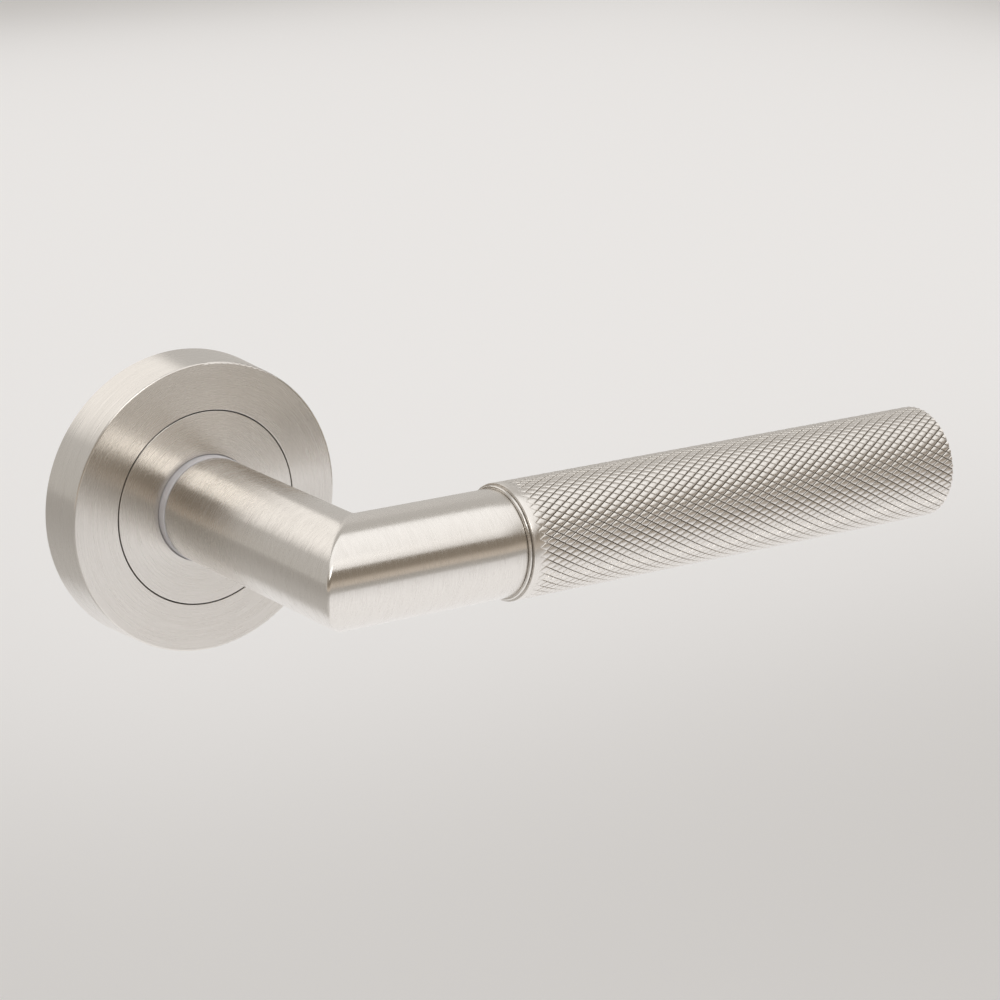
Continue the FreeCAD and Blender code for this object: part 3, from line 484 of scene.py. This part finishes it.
bpy.ops.mesh.bevel(offset=ELBOW_SOFTNESS, segments=10, profile=0.5, affect="EDGES")
bpy.ops.mesh.select_all(action="SELECT")
bpy.ops.mesh.remove_doubles(threshold=SAME_PLACE)
bpy.ops.mesh.normals_make_consistent(inside=False)
bpy.ops.object.mode_set(mode="OBJECT")
apply_modifier(tube, "SOLIDIFY", thickness=TUBE_WALL, offset=-1, use_even_offset=True)


def on_tube_end(at):
    """The outer rims of the tube's two open ends."""
    radius_on_neck = math.hypot(at.x, at.z)
    radius_on_arm = math.hypot(at.y - ARM_LINE, at.z)
    back = abs(at.y - NECK_BACK) < ON_TUBE_END and radius_on_neck > TUBE_R - RIM_WIDTH
    end = abs(at.x - ARM_END) < ON_TUBE_END and radius_on_arm > TUBE_R - RIM_WIDTH
    return back or end


pick(tube, on_tube_end, "EDGE")
bpy.ops.mesh.bevel(offset=END_EDGE, segments=3, profile=0.5, affect="EDGES")
bpy.ops.object.mode_set(mode="OBJECT")
for grub_hole in (GRUB_ON_NECK, GRUB_ON_ARM):
    bpy.ops.mesh.primitive_cylinder_add(
        vertices=DRILL_SIDES, radius=GRUB_HOLE_R, depth=DRILL_LENGTH, location=grub_hole
    )
    drill = bpy.context.object
    apply_modifier(tube, "BOOLEAN", operation="DIFFERENCE", object=drill, solver="EXACT")
    bpy.data.objects.remove(drill)
make_active(tube)
bpy.ops.object.shade_smooth_by_angle(angle=math.radians(TUBE_SMOOTH_BELOW))

MITRE_BLEND = 0.0004
tube_nickel = bpy.data.materials.new("tube_nickel")
tube_nickel.use_nodes = True
tube_tree = tube_nickel.node_tree
tube_shader = tube_tree.nodes["Principled BSDF"]
tube_shader.inputs["Metallic"].default_value = 1.0
tube_shader.inputs["Anisotropic"].default_value = GLOSS_STRETCH
tube_place = joined(tube_tree, "ShaderNodeTexCoord").outputs["Object"]
mitre_side = joined(tube_tree, "ShaderNodeVectorMath", tube_place, (-1, 1, 0), operation="DOT_PRODUCT")
on_neck = joined(
    tube_tree, "ShaderNodeMapRange", mitre_side.outputs["Value"],
    ARM_LINE - MITRE_BLEND, ARM_LINE + MITRE_BLEND, 0.0, 1.0,
).outputs[0]
brush_axis = joined(tube_tree, "ShaderNodeMix", data_type="VECTOR")
brush_centre = joined(tube_tree, "ShaderNodeMix", data_type="VECTOR")
for choice, on_arm_value, on_neck_value in (
    (brush_axis, (1, 0, 0), (0, 1, 0)),
    (brush_centre, (0, ARM_LINE, 0), (0, 0, 0)),
):
    tube_tree.links.new(on_neck, choice.inputs[0])
    choice.inputs[4].default_value = on_arm_value
    choice.inputs[5].default_value = on_neck_value
tube_place = joined(
    tube_tree, "ShaderNodeVectorMath", tube_place, brush_centre.outputs[1], operation="SUBTRACT"
).outputs[0]
finish_with_brushing(
    tube_tree, tube_place, brush_axis.outputs[1], 0.0028, 0.00015, NICKEL, NICKEL_DARK, 0.19, 0.29
)
dress(tube, tube_nickel)
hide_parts("lever_tube")
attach(tube, "lever")


# ----------------------------------------------------------- grip collar
# A thin turned ring, crowned and brushed, between the arm and the grip.
ARM_CENTRE = (0, ARM_LINE, 0)
ALONG_ARM = (1, 0, 0)
collar_nickel = brushed_metal(
    "collar_nickel", ARM_CENTRE, ALONG_ARM, 0.004, 0.0001, NICKEL, NICKEL_DARK, 0.20, 0.30, 0.6
)
dress("grip_collar", collar_nickel)


# ---------------------------------------------------------- grip sleeve
# A turned brass sleeve with a diamond knurl cut all round it, nickel plated.
# It slides over the aluminium core.  A plain band is left at its start, and
# the grooves run out to nothing there.
SLEEVE_START = 0.03112
SLEEVE_END = 0.1259
SLEEVE_R = 0.0103
KNURL_START = 0.03245
EDGE_BREAK = 0.0002
LEAD_BREAK = 0.00012
SLEEVE_BORE_R = 0.0089
BORE_EDGE = 0.0001
BAND_STEP = 0.0002
LEAD_ROUND = 0.3
RIM_INSET = 0.00004
RIM_DROP = 0.00001
RIM_REACH = 0.00006
DIAMONDS_ROUND = 45
DIAMOND_LENGTH = 0.002492
GROOVE_DEPTH = 0.00029
RUN_OUT = 0.0020
DIAMOND_STEPS = ((0.00009, 0.00018), (0.00016, 0.00007), (0.00018, 0.00003))
DIAMOND_CROWN = 0.00001
KNURL_SMOOTH_BELOW = 32
ON_RING = 1e-7
DIAMONDS_MEET = 4e-6
DIAMOND_WIDTH = 2 * math.pi * SLEEVE_R / DIAMONDS_ROUND
ROWS = math.ceil((SLEEVE_END - KNURL_START) / DIAMOND_LENGTH) + 2

bpy.ops.object.select_all(action="DESELECT")
bpy.ops.mesh.primitive_circle_add(vertices=4, radius=1, fill_type="NGON", location=(0, 0, -GROOVE_DEPTH))
sleeve = bpy.context.object
sleeve.name = "knurled_grip"
sleeve.scale = (DIAMOND_WIDTH / 2, DIAMOND_LENGTH / 2, 1)
bpy.ops.object.transform_apply(location=True, rotation=True, scale=True)
bpy.ops.object.mode_set(mode="EDIT")
bpy.ops.mesh.select_all(action="SELECT")
for step_in, step_up in DIAMOND_STEPS:
    bpy.ops.mesh.inset(thickness=step_in, depth=step_up)
bpy.ops.mesh.poke(offset=DIAMOND_CROWN)
bpy.ops.object.mode_set(mode="OBJECT")
for count, offset in (
    (DIAMONDS_ROUND, (DIAMOND_WIDTH, 0, 0)),
    (2, (DIAMOND_WIDTH / 2, DIAMOND_LENGTH / 2, 0)),
    (ROWS, (0, DIAMOND_LENGTH, 0)),
):
    apply_modifier(
        sleeve, "ARRAY", count=count, use_relative_offset=False,
        use_constant_offset=True, constant_offset_displace=offset,
    )
for vertex in sleeve.data.vertices:
    round_way, along, lift_off = vertex.co
    angle = round_way / DIAMOND_WIDTH * 2 * math.pi / DIAMONDS_ROUND
    place = KNURL_START - DIAMOND_LENGTH / 2 + along
    cut_in = min(max((place - KNURL_START) / RUN_OUT, 0), 1)
    radius = SLEEVE_R + lift_off * cut_in
    vertex.co = (
        place,
        ARM_LINE - radius * math.cos(angle),
        radius * math.sin(angle),
    )


def run_ring(radius, place):
    """Extrudes the open ring of edges that is selected to a true circle."""
    bpy.ops.mesh.extrude_edges_move()
    bpy.ops.object.mode_set(mode="OBJECT")
    for vertex in sleeve.data.vertices:
        if vertex.select:
            away = Vector((0, vertex.co.y - ARM_LINE, vertex.co.z)).normalized() * radius
            vertex.co = (place, ARM_LINE + away.y, away.z)
    bpy.ops.object.mode_set(mode="EDIT")


make_active(sleeve)
bpy.ops.object.mode_set(mode="EDIT")
bpy.ops.mesh.select_all(action="SELECT")
bpy.ops.mesh.remove_doubles(threshold=DIAMONDS_MEET)
cut_across((KNURL_START, 0, 0), (-1, 0, 0), clear=True)
cut_across((SLEEVE_END - EDGE_BREAK, 0, 0), (1, 0, 0), clear=True)
pick(sleeve, lambda at: abs(at.x - KNURL_START) < ON_RING, "EDGE")
for radius, place in (
    (SLEEVE_R, KNURL_START - BAND_STEP),
    (SLEEVE_R, SLEEVE_START + LEAD_BREAK),
    (SLEEVE_R - LEAD_BREAK * LEAD_ROUND, SLEEVE_START + LEAD_BREAK * LEAD_ROUND),
    (SLEEVE_R - LEAD_BREAK, SLEEVE_START),
    (SLEEVE_BORE_R, SLEEVE_START),
    (SLEEVE_BORE_R, SLEEVE_START + BORE_EDGE),
):
    run_ring(radius, place)
pick(sleeve, lambda at: abs(at.x - SLEEVE_END + EDGE_BREAK) < ON_RING, "EDGE")
for radius, place in (
    (SLEEVE_R - GROOVE_DEPTH - RIM_DROP, SLEEVE_END - RIM_INSET),
    (SLEEVE_R - GROOVE_DEPTH - RIM_INSET, SLEEVE_END),
    (SLEEVE_BORE_R + BORE_EDGE, SLEEVE_END),
    (SLEEVE_BORE_R, SLEEVE_END - BORE_EDGE),
):
    run_ring(radius, place)
bore_starts = (SLEEVE_START + BORE_EDGE, SLEEVE_END - BORE_EDGE)


def on_bore_ring(at):
    """The two open rings that the bore runs between."""
    radius = math.hypot(at.y - ARM_LINE, at.z)
    near_ring = any(abs(at.x - start) < ON_RING for start in bore_starts)
    return near_ring and abs(radius - SLEEVE_BORE_R) < SAME_PLACE


def on_end_rim(at):
    """The outer edge of the sleeve's flat end."""
    radius = math.hypot(at.y - ARM_LINE, at.z)
    return abs(at.x - SLEEVE_END) < ON_RING and radius > SLEEVE_R - GROOVE_DEPTH - RIM_REACH


pick(sleeve, on_end_rim, "EDGE")
bpy.ops.mesh.mark_sharp()
pick(sleeve, on_bore_ring, "EDGE")
bpy.ops.mesh.bridge_edge_loops()
bpy.ops.mesh.select_all(action="SELECT")
bpy.ops.mesh.normals_make_consistent(inside=False)
bpy.ops.object.mode_set(mode="OBJECT")
bpy.ops.object.shade_smooth_by_angle(angle=math.radians(KNURL_SMOOTH_BELOW))

# Painted shade: below a depth the knurl's grooves get a dark colour that stands in for the occlusion and dark
# reflections deep inside them. It fades out past the ends of the knurl.
GROOVE_PAINTED_SHADE = (0.27, 0.24, 0.20)
GROOVE_DARK_BELOW = 0.00028
GROOVE_UNSHADED_ABOVE = 0.00013
GROOVE_SHADE_FADE = 0.00005
knurl_nickel = bpy.data.materials.new("knurl_nickel")
knurl_nickel.use_nodes = True
knurl_tree = knurl_nickel.node_tree
knurl_shader = knurl_tree.nodes["Principled BSDF"]
knurl_shader.inputs["Metallic"].default_value = 1.0
knurl_shader.inputs["Anisotropic"].default_value = 0.4
knurl_place = joined(knurl_tree, "ShaderNodeTexCoord").outputs["Object"]
knurl_place = joined(
    knurl_tree, "ShaderNodeVectorMath", knurl_place, ARM_CENTRE, operation="SUBTRACT"
).outputs[0]
finish_with_brushing(knurl_tree, knurl_place, ALONG_ARM, 0.002, 0.0002, NICKEL, NICKEL_DARK, 0.26, 0.38)
flat_place = joined(
    knurl_tree, "ShaderNodeVectorMath", knurl_place, (0, 1, 1), operation="MULTIPLY"
).outputs[0]
out_from_axis = joined(knurl_tree, "ShaderNodeVectorMath", flat_place, operation="LENGTH").outputs["Value"]
on_top = joined(
    knurl_tree, "ShaderNodeMapRange", out_from_axis,
    SLEEVE_R - GROOVE_DARK_BELOW, SLEEVE_R - GROOVE_UNSHADED_ABOVE, 0.0, 1.0,
).outputs[0]
knurl_half = (SLEEVE_END - EDGE_BREAK - KNURL_START) / 2
from_middle = joined(
    knurl_tree, "ShaderNodeVectorMath", knurl_place, (SLEEVE_END - EDGE_BREAK - knurl_half, 0, 0),
    operation="SUBTRACT",
).outputs[0]
from_middle = joined(knurl_tree, "ShaderNodeSeparateXYZ", from_middle).outputs["X"]
from_middle = joined(knurl_tree, "ShaderNodeMath", from_middle, operation="ABSOLUTE").outputs[0]
past_knurl = joined(
    knurl_tree, "ShaderNodeMapRange", from_middle, knurl_half, knurl_half + GROOVE_SHADE_FADE, 0.0, 1.0
).outputs[0]
# Painted shade mask: 1 on the diamond tops and past the knurl, 0 deep in the grooves.
unshaded_metal = joined(knurl_tree, "ShaderNodeMath", on_top, past_knurl, operation="MAXIMUM").outputs[0]
brushed_colour = knurl_shader.inputs["Base Color"].links[0].from_socket
groove_shade_mix = joined(knurl_tree, "ShaderNodeMix", data_type="RGBA")
knurl_tree.links.new(unshaded_metal, groove_shade_mix.inputs[0])
groove_shade_mix.inputs[6].default_value = (*GROOVE_PAINTED_SHADE, 1)
knurl_tree.links.new(brushed_colour, groove_shade_mix.inputs[7])
knurl_tree.links.new(groove_shade_mix.outputs[2], knurl_shader.inputs["Base Color"])
dress(sleeve, knurl_nickel)
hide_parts("grip_sleeve")
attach(sleeve, "lever")


# -------------------------------------------------------------- end plug
# A turned disc pressed into the open end of the sleeve, brushed round.
plug_nickel = brushed_metal(
    "plug_nickel", ARM_CENTRE, ALONG_ARM, 0.004, 0.00014, NICKEL, NICKEL_DARK, 0.24, 0.34, 0.8
)
dress("end_plug", plug_nickel)


# ----------------------------------- base plate, posts, insert and washer
# Pressed and turned steel behind the cover, zinc plated and passivated to a
# pale blue grey.
plated_zinc = mottled_material(
    "plated_zinc", (0.60, 0.64, 0.68), (0.70, 0.68, 0.60), 0.005, 0.0004, 0.28, 0.46, 1.0, 0.00001
)
for node in ("base_plate", "fixing_posts", "neck_insert", "spring_driver", "thrust_washer"):
    dress(node, plated_zinc)


# ------------------------------- return spring, snap ring and wave washer
# Hardened steel wire and strip, oiled, with a straw-grey temper colour.
tempered_steel = mottled_material(
    "tempered_steel", (0.30, 0.29, 0.28), (0.36, 0.32, 0.26), 0.003, 0.0002, 0.25, 0.42, 1.0, 0.000006
)
for node in ("return_spring", "cover_snap_ring", "wave_washer"):
    dress(node, tempered_steel)


# ---------------------------------------- cup screws, circlip, grub screws
# Small steel hardware with a dull black oxide finish.
black_oxide = mottled_material(
    "black_oxide", (0.035, 0.036, 0.040), (0.065, 0.060, 0.058), 0.0016, 0.00015, 0.38, 0.6, 0.9, 0.000008
)
for node in ("cup_screws", "circlip", "spindle_grub_screw", "core_grub_screw"):
    dress(node, black_oxide)


# ------------------------------------------------------------- grip core
# A turned aluminium bar that joins the arm to the knurled sleeve.
core_metal = brushed_metal(
    "core_metal", ARM_CENTRE, ALONG_ARM, 0.02, 0.0003, (0.83, 0.84, 0.85), (0.66, 0.67, 0.69), 0.22, 0.4, 0.7
)
dress("grip_core", core_metal)


# --------------------------------------------------------------- spindle
# A square cold-drawn steel bar through the latch, with fine drawing lines
# along its length.
spindle_steel = bpy.data.materials.new("spindle_steel")
spindle_steel.use_nodes = True
spindle_tree = spindle_steel.node_tree
spindle_shader = spindle_tree.nodes["Principled BSDF"]
spindle_shader.inputs["Metallic"].default_value = 1.0
spindle_place = joined(spindle_tree, "ShaderNodeTexCoord").outputs["Object"]
drawn_place = joined(
    spindle_tree, "ShaderNodeVectorMath", spindle_place, (4000, 60, 4000), operation="MULTIPLY"
).outputs[0]
drawing = joined(spindle_tree, "ShaderNodeTexNoise", drawn_place, None, 1.0, 3.0).outputs["Fac"]
drawn_colour = joined(spindle_tree, "ShaderNodeMix", data_type="RGBA")
spindle_tree.links.new(drawing, drawn_colour.inputs[0])
drawn_colour.inputs[6].default_value = (0.42, 0.42, 0.43, 1)
drawn_colour.inputs[7].default_value = (0.62, 0.61, 0.59, 1)
drawn_rough = joined(spindle_tree, "ShaderNodeMapRange", drawing, 0.3, 0.7, 0.42, 0.26).outputs[0]
drawn_bump = spindle_tree.nodes.new("ShaderNodeBump")
drawn_bump.inputs["Strength"].default_value = 0.4
drawn_bump.inputs["Distance"].default_value = 0.00001
spindle_tree.links.new(drawing, drawn_bump.inputs["Height"])
spindle_tree.links.new(drawn_colour.outputs[2], spindle_shader.inputs["Base Color"])
spindle_tree.links.new(drawn_rough, spindle_shader.inputs["Roughness"])
spindle_tree.links.new(drawn_bump.outputs[0], spindle_shader.inputs["Normal"])
dress("spindle", spindle_steel)
